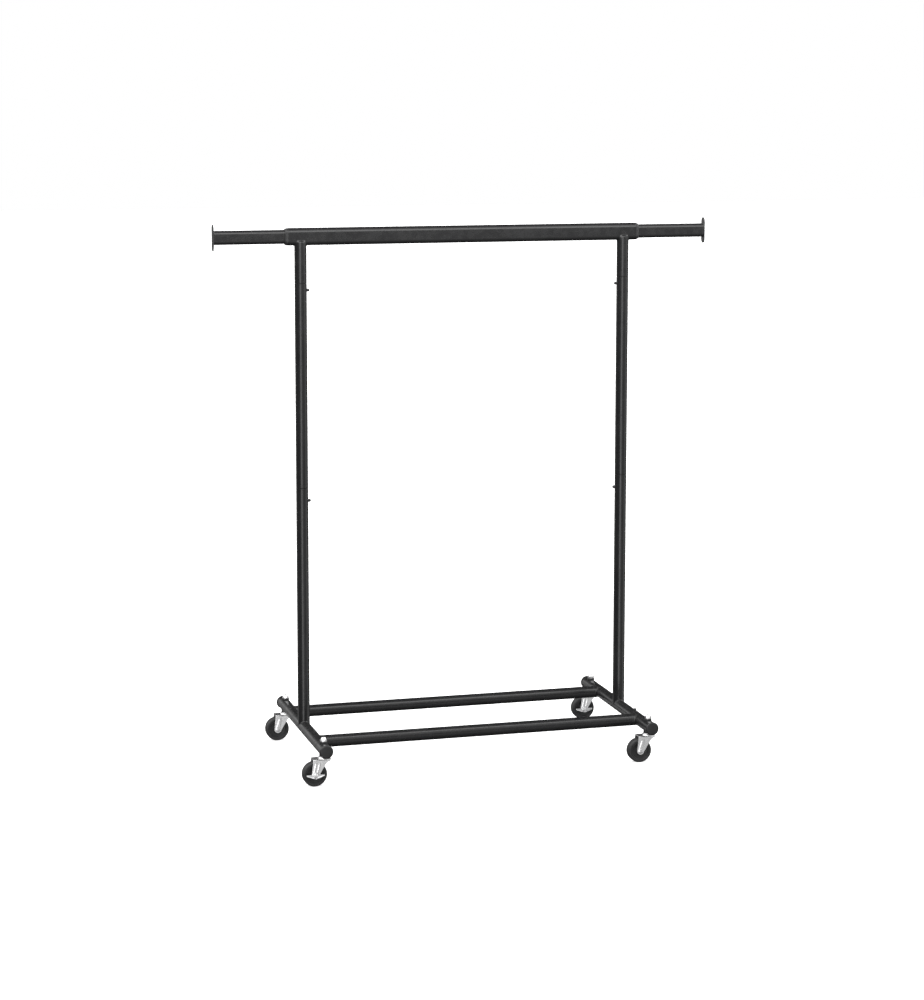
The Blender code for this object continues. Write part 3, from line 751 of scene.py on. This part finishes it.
def make_extension(side, sign):
    """An extension rod with a flared stop, its end plate, and the weld between them."""
    low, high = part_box(f"extension_rod_{side}")
    inner_x, outer_x = (low.x, high.x) if sign > 0 else (-high.x, -low.x)
    wall = 2 * ROD_WALL
    flare = (high.z - low.z, high.y - low.y)
    sections = [
        (inner_x, *flare),
        (inner_x + ROD_FLARE - ROD_CONE, *flare),
        (inner_x + ROD_FLARE, ROD_H, ROD_W),
        (inner_x + ROD_FLARE + 4 * EDGE, ROD_H, ROD_W),
        (outer_x, ROD_H, ROD_W),
        (outer_x, ROD_H - wall, ROD_W - wall),
        (inner_x, ROD_H - wall, ROD_W - wall),
    ]
    rod = placed(oval_loft(sections), rail_end(sign))
    body = f"extension_{side}"
    detail(f"extension_rod_{side}", rod, COAT, body)

    plate_low, plate_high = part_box(f"end_plate_{side}")
    height, width = plate_high.z - plate_low.z, plate_high.y - plate_low.y
    near, far = outer_x + GAP, CAD_HIGH.x
    soft = 0.0009  # rounding of the plate's edges
    sections = [(near, height - 2 * soft, width - 2 * soft)]
    for angle in quarter_turn(4):
        inset = soft * (1 - math.sin(angle))
        x = near + soft * (1 - math.cos(angle))
        sections.append((x, height - 2 * inset, width - 2 * inset))
    for angle in quarter_turn(4):
        inset = soft * (1 - math.cos(angle))
        x = far - soft + soft * math.sin(angle)
        sections.append((x, height - 2 * inset, width - 2 * inset))
    plate = placed(oval_loft(sections, closed=False), rail_end(sign))
    detail(f"end_plate_{side}", plate, COAT, body)

    leg, skin = 0.0022, WELD_SKIN
    sections = [
        (near + skin, ROD_H + 2 * leg, ROD_W + 2 * leg),
        (near - leg * 0.12, ROD_H + leg * 1.1, ROD_W + leg * 1.1),
        (near - leg * 0.45, ROD_H + leg * 0.4, ROD_W + leg * 0.4),
        (near - leg, ROD_H + skin, ROD_W + skin),
        (near - leg, ROD_H - skin, ROD_W - skin),
        (near + skin, ROD_H - skin, ROD_W - skin),
    ]
    bead = placed(oval_loft(sections), rail_end(sign))
    add(f"end_plate_weld_{side}", bead, COAT, body, sharp=60)


# --- base ends and casters ---
CAP_ROUND = 0.0048  # width of the rounded rim
CAP_RISE = 0.0032  # its height
CAP_DOME = 0.0008  # rise of the face over the rim
CAP_LEAD_IN = 0.0012


def make_end_cap(corner, x_sign, y_sign):
    """A push-in cap with a well rounded edge and a softly domed face."""
    low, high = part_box(f"end_cap_{corner}")
    rim_r = (high.x - low.x) / 2
    face_r = rim_r - CAP_ROUND
    thick = CAD_HIGH.y - SIDE_END_Y
    plug = (high.y - low.y) - thick
    profile = [(0, -plug), (BORE_R - CAP_LEAD_IN, -plug), (BORE_R - GAP, -plug + CAP_LEAD_IN)]
    profile += [(BORE_R - GAP, GAP), (rim_r - 0.0004, GAP), (rim_r, GAP + 0.0004)]
    for angle in quarter_turn(8):
        r = rim_r - CAP_ROUND * (1 - math.cos(angle))
        profile.append((r, thick - (CAP_RISE + CAP_DOME) + CAP_RISE * math.sin(angle)))
    for i in range(1, 8):
        r = face_r * (1 - i / 7)
        profile.append((r, thick - CAP_DOME * (r / face_r) ** 2))
    mesh = turned(profile, TUBE_STEPS, closed=False)
    turn = TO_Y if y_sign > 0 else Matrix.Rotation(math.pi / 2, 4, "X")
    mesh.transform(at(x_sign * UPRIGHT_X, y_sign * SIDE_END_Y, SIDE_Z) @ turn)
    detail(f"end_cap_{corner}", mesh, PLASTIC, "frame", sharp=40)


CHAMFER = [(1.00, 0.0), (1.06, 0.0006), (1.11, 0.0013)]  # (reach over the flats, depth)
CHAMFER_DEPTH = 0.0022
NUT_FLAT = 0.0085  # from the nut's axis to a flat
NUT_HEX = 0.0072  # height of its hexagon
NUT_BORE = 0.0080
NUT_DOME_R = 0.0076
NUT_TURN = math.radians(14)
UPPER_WASHER_R = 0.0110
LOWER_WASHER_R = 0.0125


def hexagon(flat, limit):
    """The radius of a hexagon at an angle, cut off where it passes the limit."""

    def radius(angle):
        turn = (angle + math.pi / 6) % (math.pi / 3) - math.pi / 6
        return min(flat / math.cos(turn), limit)

    return radius


def hex_stations(flat, low, high):
    """Stations of a hexagon whose corners are turned off at both ends."""
    whole = hexagon(flat, flat / math.cos(math.pi / 6))
    stations = [(hexagon(flat, flat * reach), low + depth) for reach, depth in CHAMFER]
    stations += [(whole, low + CHAMFER_DEPTH), (whole, high - CHAMFER_DEPTH)]
    stations += [(hexagon(flat, flat * reach), high - depth) for reach, depth in reversed(CHAMFER)]
    return stations


def make_stem_nut(corner, matrix):
    """The dome nut on top of the tube, with a blind bore for the stem."""
    low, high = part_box(f"stem_nut_{corner}")
    hex_top = low.z + NUT_HEX
    bore_r, bore_top = STEM_R + GAP, low.z + NUT_BORE
    stations = [(0, bore_top), (bore_r, bore_top), (bore_r, low.z)]
    stations += hex_stations(NUT_FLAT, low.z, hex_top)
    stations.append((NUT_DOME_R, hex_top))
    for angle in quarter_turn(9):
        height = hex_top + (high.z - hex_top) * math.sin(angle)
        stations.append((NUT_DOME_R * math.cos(angle), height))
    mesh = turned(stations, FINE_STEPS, closed=False)
    mesh.transform(matrix @ Matrix.Rotation(NUT_TURN, 4, "Z"))
    detail(f"stem_nut_{corner}", mesh, ZINC, "frame", sharp=30)


def make_washers(corner, matrix):
    """The black saddle washers that the nut and the caster bear on, above and below the tube."""
    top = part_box(f"saddle_washer_{corner}")[1].z
    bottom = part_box(f"caster_stem_{corner}")[0].z + STEM_TO_RACE + GAP

    def over(r, angle):
        return SIDE_Z + saddle_height(r, angle)

    def under(r, angle):
        return SIDE_Z - saddle_height(r, angle)

    hole, radius = STEM_R + GAP, UPPER_WASHER_R
    soft = 0.0007  # rounding of the washers' edges
    upper = [(hole, over), (radius, over), (radius, top - soft)]
    upper += [(radius - soft * 0.3, top - soft * 0.3), (radius - soft, top), (hole, top)]
    mesh = placed(turned(upper), matrix)
    detail(f"saddle_washer_{corner}", mesh, PLASTIC, "frame")
    radius = LOWER_WASHER_R
    lower = [(hole, under), (radius, under), (radius, bottom + soft)]
    lower += [(radius - soft, bottom), (hole, bottom)]
    mesh = placed(turned(lower), matrix)
    add(f"lower_washer_{corner}", mesh, PLASTIC, "frame")


def make_stem(corner, matrix):
    """The kingpin: a head under the fork, a shank, and the fixed race above the swivel."""
    low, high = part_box(f"caster_stem_{corner}")
    race = FORK_TOP_Z + RACE_LIFT
    head = low.z
    profile = [
        (0, head),
        (0.0060, head),
        (0.0079, head + 0.0008),
        (0.0085, head + 0.0020),
        (0.0085, head + 0.0030),
        (STEM_R, head + 0.0030),
        (STEM_R, race),
        (0.0128, race),
        (0.0135, race + 0.0005),
        (0.0132, race + 0.0011),
        (0.0110, race + 0.0015),
        (STEM_R, race + 0.0016),
        (STEM_R, high.z - 0.0008),
        (STEM_R - 0.0008, high.z),
        (0, high.z),
    ]
    mesh = placed(turned(profile, SMALL_STEPS, closed=False), matrix)
    detail(f"caster_stem_{corner}", mesh, ZINC, "frame")


FORK_BACK_X, FORK_FRONT_X = -0.0325, 0.0185
FORK_BEND = 0.0034
LEG_ROWS, FORK_COLUMNS = 44, 28
FOOT_COS, FOOT_SIN = 0.966, 0.26  # where the leading edge leaves the arc of the foot
SWIVEL_HEAD_R = 0.0165
RIB_RISE = 0.0008
RIB_TOP_Z = FORK_TOP_Z - 0.010
RIB_LEAN = 0.0075  # how far forward the middle of the ribs is at their top
TWIN_RIBS = (-0.0055, 0.0050)
TEARDROP_R = 0.0066
TEARDROP_TAPER = 0.0036


def leg_back_x(z):
    """The trailing edge of the fork's leg at that height: nearly straight, then the foot."""
    drop = (FORK_TOP_Z - z) / (FORK_TOP_Z - WHEEL_R)
    straight = FORK_BACK_X + (-TRAIL - FORK_FOOT_R - FORK_BACK_X) * min(1.0, drop) ** 0.9
    if z > WHEEL_R:
        return straight
    return -TRAIL - math.sqrt(max(0.0, FORK_FOOT_R**2 - (z - WHEEL_R) ** 2))


def leg_front_x(z):
    """The leading edge: it sweeps in from the head, and then runs down to the foot."""
    start_z = WHEEL_R - FORK_FOOT_R * FOOT_SIN
    if z < start_z:
        return -TRAIL + math.sqrt(max(0.0, FORK_FOOT_R**2 - (z - WHEEL_R) ** 2))
    rise = min(1.0, (z - start_z) / (FORK_TOP_Z - 0.004 - start_z))
    foot_x = -TRAIL + FORK_FOOT_R * FOOT_COS
    return foot_x + (FORK_FRONT_X - foot_x) * (0.72 * rise + 0.28 * rise**14)


def rib_height(x, z, braked):
    """How far the pressed rib stands out of the leg: a teardrop, or two upright ribs."""

    def soft_step(value):
        t = max(0.0, min(1.0, value))
        return t * t * (3 - 2 * t)

    if z > FORK_TOP_Z - 0.008:
        return 0.0
    up = (z - WHEEL_R) / (RIB_TOP_Z - WHEEL_R)
    centre = -TRAIL + RIB_LEAN * max(0.0, up)
    if braked:
        share = min(soft_step((1.02 - up) / 0.12), soft_step((up - 0.12) / 0.12))
        near = min(abs(x - centre - offset) for offset in TWIN_RIBS)
        return RIB_RISE * share * soft_step((0.0021 - near) / 0.0014)
    if up < 0:
        outside = math.hypot(x + TRAIL, z - WHEEL_R) - TEARDROP_R
    else:
        outside = abs(x - centre) - (TEARDROP_R - TEARDROP_TAPER * min(1.0, up))
    share = soft_step((1.0 - up) / 0.10)
    return RIB_RISE * share * soft_step((0.0008 - outside) / 0.0016)


def make_fork(corner, matrix, braked):
    """A fork pressed from sheet: two legs with ribs, bent from a top plate."""
    path = []  # from one foot over the top to the other: (y, z, the share of the ribs' height)
    side_z = FORK_TOP_Z - FORK_BEND
    foot_z = WHEEL_R - FORK_FOOT_R
    for i in range(LEG_ROWS + 1):
        share = 1 - math.cos(i / LEG_ROWS * math.pi / 2)
        path.append((-FORK_HALF_Y, foot_z + (side_z - foot_z) * share, 1.0))
    for angle in quarter_turn(6):
        y = -FORK_HALF_Y + FORK_BEND * (1 - math.cos(angle))
        path.append((y, side_z + FORK_BEND * math.sin(angle), math.cos(angle)))
    path += [(-y, z, lean) for y, z, lean in reversed(path)]
    rows = []
    for y, z, lean in path:
        look_z = min(z, side_z)
        start, end = leg_back_x(look_z), leg_front_x(look_z)
        row = []
        for k in range(FORK_COLUMNS + 1):
            x = start + (end - start) * k / FORK_COLUMNS
            out = rib_height(x, z, braked) * lean
            row.append((x, y + math.copysign(out, y), z))
        rows.append(row)
    mesh = pressed(rows, FORK_T, -1, 0.0004)
    upper = [face for face in mesh.polygons if face.center.z > FORK_TOP_Z - GAP]
    if sum(face.normal.z * face.area for face in upper) < 0:
        mesh.flip_normals()
    mesh.transform(matrix)
    body = f"caster_{corner}"
    detail(f"caster_fork_{corner}", mesh, ZINC, body, sharp=40)
    make_swivel_head(corner, matrix, body)


def make_swivel_head(corner, matrix, body):
    """The round race housing pressed up in the fork's top plate."""
    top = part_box(f"caster_fork_{corner}")[1].z
    hole, radius = STEM_R + GAP, SWIVEL_HEAD_R
    base = FORK_TOP_Z - FORK_T / 2
    profile = [(hole, base), (radius + 0.0012, base), (radius + 0.0012, FORK_TOP_Z + 0.0001)]
    profile += [(radius + 0.0002, FORK_TOP_Z + 0.0004), (radius - 0.0003, FORK_TOP_Z + 0.0012)]
    for angle in quarter_turn(6):
        r = radius - 0.0003 - 0.0020 * (1 - math.cos(angle))
        rise = (top - FORK_TOP_Z - 0.0012) * math.sin(angle)
        profile.append((r, FORK_TOP_Z + 0.0012 + rise))
    profile.append((hole, top))
    mesh = placed(turned(profile), matrix)
    add(f"swivel_head_{corner}", mesh, ZINC, body, sharp=40)


TREAD_DEPTH = 0.0072
TREAD_ROUND = 0.0042
BOLT_FLAT = 0.0055  # from the bolt's axis to a flat
BOLT_HEAD = 0.0045
BOLT_NUT = 0.0055
RIVET_R = 0.0057


def make_wheel(corner, matrix):
    """A soft tread on a moulded core with a recessed web and a hub."""
    half, seam_r = WHEEL_HALF_T, WHEEL_R - TREAD_DEPTH
    arc = [(WHEEL_R, half - 0.0056)]
    for angle in (0.0, *quarter_turn(8)):
        r = WHEEL_R - TREAD_ROUND * (1 - math.cos(angle))
        arc.append((r, half - TREAD_ROUND * (1 - math.sin(angle))))
    arc += [(seam_r + 0.0010, half), (seam_r + 0.0002, half - 0.0005)]
    arc.append((seam_r + 0.0002, half - 0.0050))
    tread = [*[(r, -z) for r, z in reversed(arc)], *arc]
    mesh = placed(turned(tread, FINE_STEPS), matrix @ TO_Y)
    body = f"wheel_{corner}"
    add(f"wheel_tread_{corner}", mesh, RUBBER, body, (f"caster_wheel_{corner}",), sharp=30)

    face = [
        (seam_r, half - 0.0050),
        (seam_r, half - 0.0008),
        (seam_r - 0.0005, half - 0.0003),
        (seam_r - 0.0022, half - 0.0003),
        (seam_r - 0.0030, half - 0.0008),
        (seam_r - 0.0036, half - 0.0022),
        (seam_r - 0.0044, half - 0.0030),
        (0.0128, half - 0.0044),
        (0.0116, half - 0.0038),
        (0.0104, half - 0.0008),
        (0.0098, half + 0.0006),
        (0.0090, half + 0.0010),
        (AXLE_R + GAP, half + 0.0010),
    ]
    core = [*face, *[(r, -z) for r, z in reversed(face)]]
    mesh = placed(turned(core, FINE_STEPS), matrix @ TO_Y)
    add(f"wheel_core_{corner}", mesh, PLASTIC, body, sharp=30)


def make_axle(corner, matrix, braked):
    """A bolt with its nut on a braked caster, and a rivet on a plain one."""
    if braked:
        back, front = FORK_HALF_Y + GAP, FORK_HALF_Y + BRAKE_T + 3 * GAP
        head, tip = -back - BOLT_HEAD, front + 0.0075
        stations = [(0, head), *hex_stations(BOLT_FLAT, head, -back)]
        stations += [(AXLE_R, -back), (AXLE_R, front)]
        stations += hex_stations(BOLT_FLAT, front, front + BOLT_NUT)
        stations += [(AXLE_R + 0.0004, front + BOLT_NUT), (AXLE_R, front + 0.0050)]
        stations += [(AXLE_R, front + 0.0070), (AXLE_R - 0.0006, tip), (0, tip)]
        mesh = turned(stations, FINE_STEPS, closed=False)
        to_front = Matrix.Rotation(math.pi / 2, 4, "X")
        mesh.transform(matrix @ to_front @ Matrix.Rotation(0.2, 4, "Z"))
    else:
        end = FORK_HALF_Y + GAP
        profile = []
        for side in (-1, 1):
            cap = [(AXLE_R, end), (RIVET_R + 0.0001, end), (RIVET_R, end + 0.0004)]
            for angle in quarter_turn(7):
                cap.append((RIVET_R * math.cos(angle), end + 0.0004 + 0.0010 * math.sin(angle)))
            cap = [(r, side * z) for r, z in cap]
            profile += cap if side > 0 else list(reversed(cap))
        mesh = placed(turned(profile, SMALL_STEPS, closed=False), matrix @ TO_Y)
    detail(f"caster_axle_{corner}", mesh, ZINC, f"caster_{corner}", sharp=30)


def make_brake(corner, matrix):
    """The rocker: a wing on each side of the axle, bent out at the foot into a shallow pedal."""
    steps, folds = 48, 8
    rows = []
    for i in range(-steps, steps + 1):
        reach = i / steps
        near = 1 - abs(reach)
        hub = 0.0060 * max(0.0, 1 - (reach / 0.36) ** 2) ** 0.5
        bend_z = -0.0014 - 0.0061 * near**0.7
        out = 0.0012 + 0.0058 * near**0.8
        top = Vector((0, 0.0014 + hub))
        bend = Vector((0, bend_z))
        lip = Vector((-out, bend_z - 0.0005 - 0.0020 * near))
        start = bend.lerp(top, 0.25)
        end = bend.lerp(lip, 0.35)
        profile = [top, *bezier([start, bend, bend, end], folds), lip]
        rows.append([(BRAKE_HALF_X * reach, y, z) for y, z in profile])
    mesh = placed(pressed(rows, BRAKE_T, 0, 0.00035), matrix)
    detail(f"brake_rocker_{corner}", mesh, ZINC, f"brake_{corner}", sharp=45)


def make_caster(corner, x_sign, y_sign):
    braked = corner in BRAKED
    stem = at(x_sign * UPRIGHT_X, y_sign * STEM_Y)
    axle = stem @ at(-TRAIL, 0, WHEEL_R)
    make_stem_nut(corner, stem)
    make_washers(corner, stem)
    make_stem(corner, stem)
    make_fork(corner, stem, braked)
    make_wheel(corner, axle)
    make_axle(corner, axle, braked)
    if braked:
        make_brake(corner, axle @ at(0, -FORK_HALF_Y - GAP - BRAKE_T / 2))


# --- studio and camera ---
CAMERA_AT = (-2.0145, -7.1584, 1.9974)
CAMERA_YAW, CAMERA_PITCH, CAMERA_ROLL = 0.2735, -0.1349, 0.0010
CAMERA_LENS = 92.56
CAMERA_SHIFT = -0.08  # the picture hangs lower than its line of sight
SENSOR = 36.0
FLOOR_HALF = 30
FLOOR_DROP = 0.0005  # under the wheels
FLOOR_GLOW = 0.45
LAMP_AT = (0.25, -1.00, RAIL_Z + 0.42)
LAMP_TILT = math.radians(67)  # from straight down towards the rail
LAMP_SIZE = (3.4, 0.65)
LAMP_RADIANCE = 3.2

# The tent is painted by direction, whose parts x, y and z run from -1 to 1. A band is
# (from, to, half the width of its soft ends), and a fade is (where it starts, where it ends).
FILL_LEVEL = 0.02
STRIPE_LEVEL = 0.56
STRIPE_X, STRIPE_Z, STRIPE_FADE = (-0.45, -0.04, 0.08), (0.04, 0.24, 0.05), (0.5, 0.7)
PANEL_LEVEL = 0.55
PANEL_TURN, PANEL_Z = (0.497, 0.557, 0.006), (-0.32, -0.18, 0.04)
KEY_IN_FRONT = 0.33  # the share of the key light left in its dim patch
KEY_OFF_X, KEY_OFF_FADE = (0.10, 0.48, 0.06), (-0.30, 0.05)
KEY_DIM_X, KEY_DIM_FADE = (-0.02, 0.58, 0.08), (-0.10, 0.25)
KEY_END = (0.60, 0.80)
# By the sine of the elevation, and for the ground by the sine of the angle below the horizon.
KEY_LEVELS = [(0.20, 0.0), (0.38, 2.4), (0.60, 3.2), (0.84, 2.6), (0.94, 1.2), (1.0, 0.4)]
GROUND_LEVELS = [(0.28, 0.0), (0.44, 0.32), (0.62, 0.26), (0.90, 0.09), (1.0, 0.08)]
GROUND_FADE = (-0.15, 0.10)
# By the turn about the rack: 0 and 1 are behind it, 0.25 left, 0.5 in front and 0.75 right.
WALL_Z = (-0.36, 0.20, 0.08)
WALL_LEVELS = [(0.00, 0.10), (0.035, 0.10), (0.055, 0.65), (0.110, 0.65), (0.130, 0.10)]
WALL_LEVELS += [(0.34, 0.08), (0.410, 0.24), (0.428, 2.90), (0.476, 2.90), (0.490, 0.38)]
WALL_LEVELS += [(0.53, 0.33), (0.56, 0.40), (0.58, 0.36), (0.63, 0.30), (0.67, 0.95)]
WALL_LEVELS += [(0.75, 0.95), (0.79, 0.16), (0.89, 0.10), (0.92, 0.08)]


def make_camera():
    data = bpy.data.cameras.new("camera")
    data.lens = CAMERA_LENS
    data.sensor_width = SENSOR
    data.shift_y = CAMERA_SHIFT
    data.clip_end = 100
    camera = object_of(data, "camera")
    turn = Matrix.Rotation(-CAMERA_YAW, 4, "Z")
    tilt = Matrix.Rotation(math.pi / 2 + CAMERA_PITCH, 4, "X")
    roll = Matrix.Rotation(CAMERA_ROLL, 4, "Z")
    camera.matrix_world = at(*CAMERA_AT) @ (turn @ tilt) @ roll
    bpy.context.scene.camera = camera


def make_floor():
    """A plain white floor that only the camera sees, so that it isn't mirrored in the paint."""
    mesh = bpy.data.meshes.new("floor")
    work = bmesh.new()
    bmesh.ops.create_grid(work, x_segments=1, y_segments=1, size=FLOOR_HALF)
    work.to_mesh(mesh)
    work.free()
    floor = object_of(mesh, "floor")
    floor.location.z = CAD_LOW.z - FLOOR_DROP
    material = bpy.data.materials.new("pale_floor")
    material.use_nodes = True
    shader = material.node_tree.nodes["Principled BSDF"]
    looks = {"Base Color": (0.9, 0.9, 0.9, 1), "Roughness": 1.0, "Specular IOR Level": 0.0}
    looks |= {"Emission Color": (1, 1, 1, 1), "Emission Strength": FLOOR_GLOW}
    for key, value in looks.items():
        shader.inputs[key].default_value = value
    mesh.materials.append(material)
    for ray in ("glossy", "diffuse", "transmission", "shadow"):
        setattr(floor, f"visible_{ray}", False)


def make_studio():
    """A soft light tent: white to the eye, and to the rack a ring of softboxes and strips."""
    world = bpy.data.worlds.new("studio")
    bpy.context.scene.world = world
    world.use_nodes = True
    tree = world.node_tree
    tree.nodes.clear()
    nodes = Nodes(tree)
    direction = nodes.new("ShaderNodeTexCoord").outputs["Generated"]
    axes = nodes.new("ShaderNodeSeparateXYZ", {"Vector": direction}).outputs
    x, y, z = axes[0], axes[1], axes[2]

    def box(value, low, high, soft):
        rise = nodes.mapped(value, low - soft, low + soft)
        fall = nodes.mapped(value, high - soft, high + soft, 1.0, 0.0)
        return nodes.times(rise, fall)

    def levels(value, stops):
        """The level at that value. A ramp's colours stop at 1, so it holds a quarter of them."""
        color = nodes.ramp(value, [(place, level / 4) for place, level in stops])
        grey = nodes.new("ShaderNodeRGBToBW", {"Color": color}).outputs[0]
        return nodes.times(grey, 4.0)

    # The turn about the rack, as in WALL_LEVELS.
    turn = nodes.math("ARCTAN2", x, nodes.times(y, -1.0))
    turn = nodes.mapped(turn, -math.pi, math.pi, 0.0, 1.0, smooth=False)
    wall = nodes.times(levels(turn, WALL_LEVELS), box(z, *WALL_Z))
    panel = nodes.times(box(turn, *PANEL_TURN), box(z, *PANEL_Z))
    wall = nodes.math("ADD", wall, nodes.times(panel, PANEL_LEVEL))
    # The key light has a hole behind the rack and a dim patch in front, both to the right.
    behind = nodes.mapped(y, *KEY_OFF_FADE)
    hidden = nodes.times(behind, box(x, *KEY_OFF_X))
    ahead = nodes.mapped(y, *KEY_DIM_FADE, to_low=1.0 - KEY_IN_FRONT, to_high=0.0)
    dimmed = nodes.times(ahead, box(x, *KEY_DIM_X))
    key = nodes.times(levels(z, KEY_LEVELS), nodes.math("SUBTRACT", 1.0, hidden))
    key = nodes.times(key, nodes.math("SUBTRACT", 1.0, dimmed))
    key = nodes.times(key, nodes.mapped(y, *KEY_END, to_low=1.0, to_high=0.0))
    down = nodes.times(z, -1.0)
    ground = levels(down, GROUND_LEVELS)
    faded = nodes.mapped(y, *GROUND_FADE, to_low=1.0, to_high=0.3)
    ground = nodes.times(ground, faded)
    stripe = nodes.times(box(x, *STRIPE_X), box(z, *STRIPE_Z))
    faded = nodes.mapped(y, *STRIPE_FADE, to_low=0.0, to_high=STRIPE_LEVEL)
    stripe = nodes.times(stripe, faded)
    total = nodes.math("ADD", nodes.math("ADD", wall, key), nodes.math("ADD", ground, FILL_LEVEL))
    total = nodes.math("ADD", total, stripe)
    seen = nodes.new("ShaderNodeLightPath").outputs["Is Camera Ray"]
    tent = nodes.new("ShaderNodeBackground", {"Strength": total, "Color": (1, 1, 1, 1)}).outputs[0]
    white = nodes.new("ShaderNodeBackground", {"Strength": 1.0, "Color": (1, 1, 1, 1)}).outputs[0]
    mixed = nodes.new("ShaderNodeMixShader", {0: seen, 1: tent, 2: white}).outputs[0]
    nodes.new("ShaderNodeOutputWorld", {"Surface": mixed})


def make_lamp():
    """A long softbox above and before the rail, near enough that the base sees little of it."""
    data = bpy.data.lights.new("softbox", "AREA")
    data.shape = "RECTANGLE"
    data.size, data.size_y = LAMP_SIZE
    data.energy = LAMP_RADIANCE * math.pi * LAMP_SIZE[0] * LAMP_SIZE[1]
    lamp = object_of(data, "softbox")
    lamp.matrix_world = at(*LAMP_AT) @ Matrix.Rotation(LAMP_TILT, 4, "X")
    lamp.visible_camera = False


make_hanging_rail()
for bar in ("front_bar", "rear_bar"):
    make_bar(bar)
for side_name, side_sign in SIDES.items():
    make_rail_collar(side_name, side_sign)
    make_extension(side_name, side_sign)
    make_upright(side_name, side_sign)
    make_side_rail(side_name, side_sign)
for corner_name, signs in CORNERS.items():
    make_corner_tube(corner_name, *signs)
    make_end_cap(corner_name, *signs)
    make_caster(corner_name, *signs)

make_camera()
make_floor()
make_studio()
make_lamp()
bpy.context.scene.view_settings.view_transform = "Standard"
